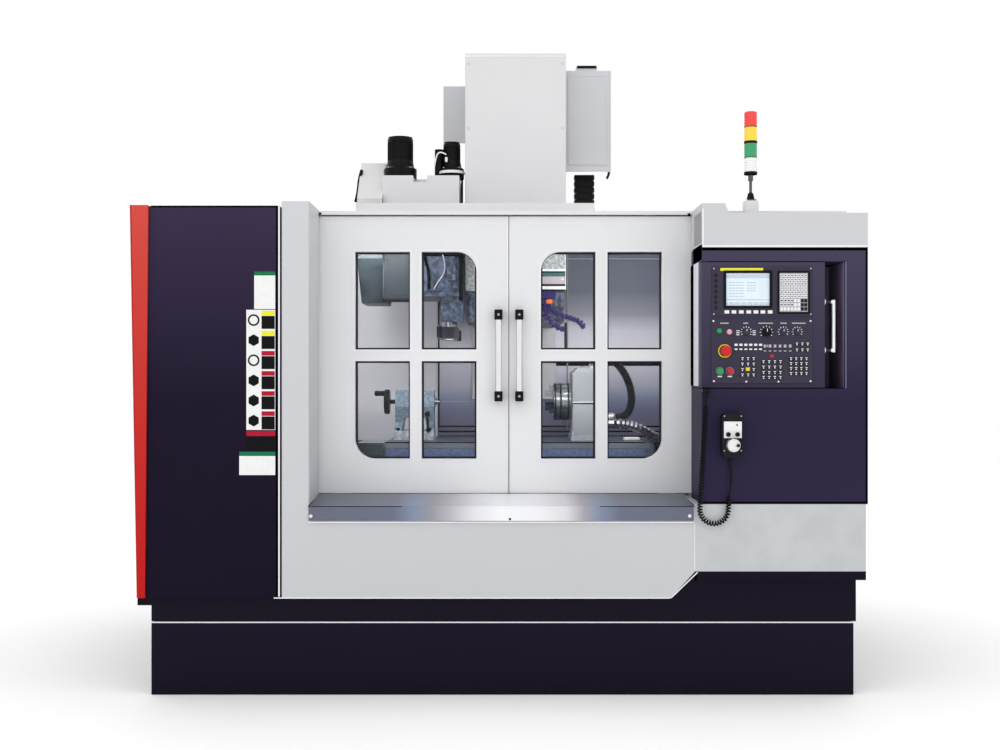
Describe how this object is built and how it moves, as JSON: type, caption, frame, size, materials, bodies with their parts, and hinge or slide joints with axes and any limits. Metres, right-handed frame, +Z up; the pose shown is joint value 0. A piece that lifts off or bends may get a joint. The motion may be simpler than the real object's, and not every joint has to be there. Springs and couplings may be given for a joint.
{
  "type": "cnc machining center",
  "caption": "Enclosed vertical machining centre with sliding window doors, moving table, rotary axis, tool changer, swing-out console and hand wheel pendant.",
  "frame": {"origin": "on the floor, under the middle of the machine's bounding box", "axes": "+X to the operator's right along the machine's front, +Y from the front to the back, +Z up"},
  "size_m": [3.01, 2.5, 2.794],
  "materials": {
    "base_grey": "low-sheen dark paint on folded sheet",
    "dark_base": "near-black satin paint",
    "casting_green": "painted casting, grey-green, slightly rough",
    "rail_steel": "ground and oiled",
    "dark_panel": "dark purple-grey fine texture paint",
    "trim_red": "red satin paint",
    "light_panel": "light grey fine texture paint",
    "stainless": "brushed stainless sheet",
    "head_grey": "light grey paint",
    "gearbox_grey": "blue-grey machine enamel",
    "black_motor": "black enamel on finned housings",
    "cord_black": "black jacket, dull",
    "pendant_black": "dark moulded plastic",
    "dial_black": "black moulded plastic with white marks",
    "pole_steel": "polished tube",
    "lens_plastic": "ribbed translucent lenses: red, yellow, green, clear",
    "door_paint": "light grey fine texture paint",
    "window_glass": "clear laminated pane",
    "handle_black": "black moulded grip",
    "cover_steel": "brushed sheet steel",
    "table_iron": "ground cast iron",
    "rotary_paint": "dark enamel",
    "hose_metal": "wound metal hose",
    "ground_steel": "ground and polished steel",
    "chain_black": "black plastic links",
    "hose_blue": "blue articulated hose with orange joints",
    "magazine_black": "dark pots on a painted disc",
    "arm_steel": "blackened steel",
    "console_face": "grey membrane panel with plain keys",
    "stop_red": "red mushroom head on a yellow ring",
    "start_green": "green push button",
    "hold_red": "red push button"
  },
  "bodies": {
    "frame": {"coolant_tank": "base_grey", "bed_skirt": "dark_base", "machine_bed": "casting_green", "column": "casting_green", "guides_and_screws": "rail_steel", "left_enclosure": "dark_panel", "corner_trim": "trim_red", "front_frame": "light_panel", "sill_cover": "stainless", "door_rails": "light_panel", "control_cabinet": "dark_panel", "cabinet_panels": "light_panel", "right_enclosure": "dark_panel", "splash_walls": "stainless", "magazine_housing": "head_grey", "atc_gearbox": "gearbox_grey", "atc_motors": "black_motor", "electrical_cabinet": "light_panel", "pendant_cord": "cord_black", "cord_gland": "cord_black", "pendant_body": "pendant_black", "signal_pole": "pole_steel", "signal_lenses": "lens_plastic"},
    "left_door": {"left_door_panel": "door_paint", "left_door_windows": "window_glass", "left_door_handle": "handle_black"},
    "right_door": {"right_door_panel": "door_paint", "right_door_windows": "window_glass", "right_door_handle": "handle_black"},
    "saddle_unit": {"saddle": "casting_green", "saddle_way_covers": "cover_steel"},
    "rear_cover": {"rear_way_cover": "cover_steel"},
    "table_unit": {"worktable": "table_iron", "table_guards": "cover_steel", "rotary_table": "rotary_paint", "rotary_conduit": "cord_black", "rotary_hose": "hose_metal", "tailstock": "rotary_paint"},
    "chuck_unit": {"chuck": "ground_steel"},
    "tailstock_wheel": {"tailstock_handwheel": "black_motor"},
    "quill_unit": {"tailstock_quill": "ground_steel"},
    "head": {"head_casting": "casting_green", "head_cover": "head_grey", "head_side_boxes": "head_grey", "drag_chain": "chain_black", "coolant_nozzles": "hose_blue"},
    "spindle_unit": {"spindle": "ground_steel"},
    "magazine_unit": {"tool_magazine": "magazine_black"},
    "arm_quill": {"arm_shaft": "ground_steel"},
    "arm": {"exchange_arm": "arm_steel"},
    "console": {"console_housing": "light_panel", "display_unit": "console_face", "operator_panel": "console_face", "console_handle": "ground_steel"},
    "stop_button": {"emergency_stop": "stop_red"},
    "start_button": {"cycle_start": "start_green"},
    "hold_button": {"feed_hold": "hold_red"},
    "override": {"override_knob": "dial_black"},
    "pendant_dial": {"handwheel_dial": "dial_black"},
    "electric_door": {"electrical_door": "light_panel"}
  },
  "joints": [
    {"name": "left_door_slide", "type": "slide", "parent": "frame", "child": "left_door", "axis": [-1, 0, 0], "range_m": [0, 0.6]},
    {"name": "right_door_slide", "type": "slide", "parent": "frame", "child": "right_door", "axis": [1, 0, 0], "range_m": [0, 0.6]},
    {"name": "saddle_slide", "type": "slide", "parent": "frame", "child": "saddle_unit", "axis": [0, 1, 0], "range_m": [-0.25, 0.25]},
    {"name": "rear_cover_slide", "type": "slide", "parent": "frame", "child": "rear_cover", "axis": [0, 1, 0], "range_m": [-0.125, 0.125]},
    {"name": "table_slide", "type": "slide", "parent": "saddle_unit", "child": "table_unit", "axis": [1, 0, 0], "range_m": [-0.51, 0.51]},
    {"name": "chuck_spin", "type": "hinge", "parent": "table_unit", "child": "chuck_unit", "pos_m": [0.3, -0.22, 1.177], "axis": [1, 0, 0], "continuous": true},
    {"name": "tailstock_wheel_turn", "type": "hinge", "parent": "table_unit", "child": "tailstock_wheel", "pos_m": [-0.53, -0.22, 1.177], "axis": [1, 0, 0], "range_deg": [0, 3600]},
    {"name": "quill_slide", "type": "slide", "parent": "table_unit", "child": "quill_unit", "axis": [1, 0, 0], "range_m": [0, 0.05]},
    {"name": "head_slide", "type": "slide", "parent": "frame", "child": "head", "axis": [0, 0, -1], "range_m": [-0.15, 0.255]},
    {"name": "spindle_spin", "type": "hinge", "parent": "head", "child": "spindle_unit", "pos_m": [0.076, -0.22, 1.6], "axis": [0, 0, 1], "continuous": true},
    {"name": "magazine_spin", "type": "hinge", "parent": "frame", "child": "magazine_unit", "pos_m": [-0.54, -0.22, 1.975], "axis": [1, 0, 0], "continuous": true},
    {"name": "arm_drop", "type": "slide", "parent": "frame", "child": "arm_quill", "axis": [0, 0, -1], "range_m": [0, 0.14]},
    {"name": "arm_swing", "type": "hinge", "parent": "arm_quill", "child": "arm", "pos_m": [-0.2375, -0.22, 1.5], "axis": [0, 0, 1], "range_deg": [0, 180]},
    {"name": "console_swing", "type": "hinge", "parent": "frame", "child": "console", "pos_m": [0.843, -1.155, 1.5], "axis": [0, 0, -1], "range_deg": [0, 90]},
    {"name": "stop_press", "type": "slide", "parent": "console", "child": "stop_button", "axis": [0, 1, 0], "range_m": [0, 0.006], "stiffness_N_per_m": 600},
    {"name": "start_press", "type": "slide", "parent": "console", "child": "start_button", "axis": [0, 1, 0], "range_m": [0, 0.004], "stiffness_N_per_m": 800},
    {"name": "hold_press", "type": "slide", "parent": "console", "child": "hold_button", "axis": [0, 1, 0], "range_m": [0, 0.004], "stiffness_N_per_m": 800},
    {"name": "override_turn", "type": "hinge", "parent": "console", "child": "override", "pos_m": [1.09, -1.17, 1.48], "axis": [0, 1, 0], "range_deg": [-135, 135]},
    {"name": "dial_turn", "type": "hinge", "parent": "frame", "child": "pendant_dial", "pos_m": [0.947, -1.225, 1.022], "axis": [0, 1, 0], "continuous": true},
    {"name": "electric_door_hinge", "type": "hinge", "parent": "frame", "child": "electric_door", "pos_m": [-0.3, 1.25, 1.2], "axis": [0, 0, 1], "range_deg": [0, 110]}
  ],
  "couplings": [
    {"joint": "rear_cover_slide", "follows": "saddle_slide", "ratio": 0.5},
    {"joint": "quill_slide", "follows": "tailstock_wheel_turn", "m_per_rad": 0.00079577}
  ]
}
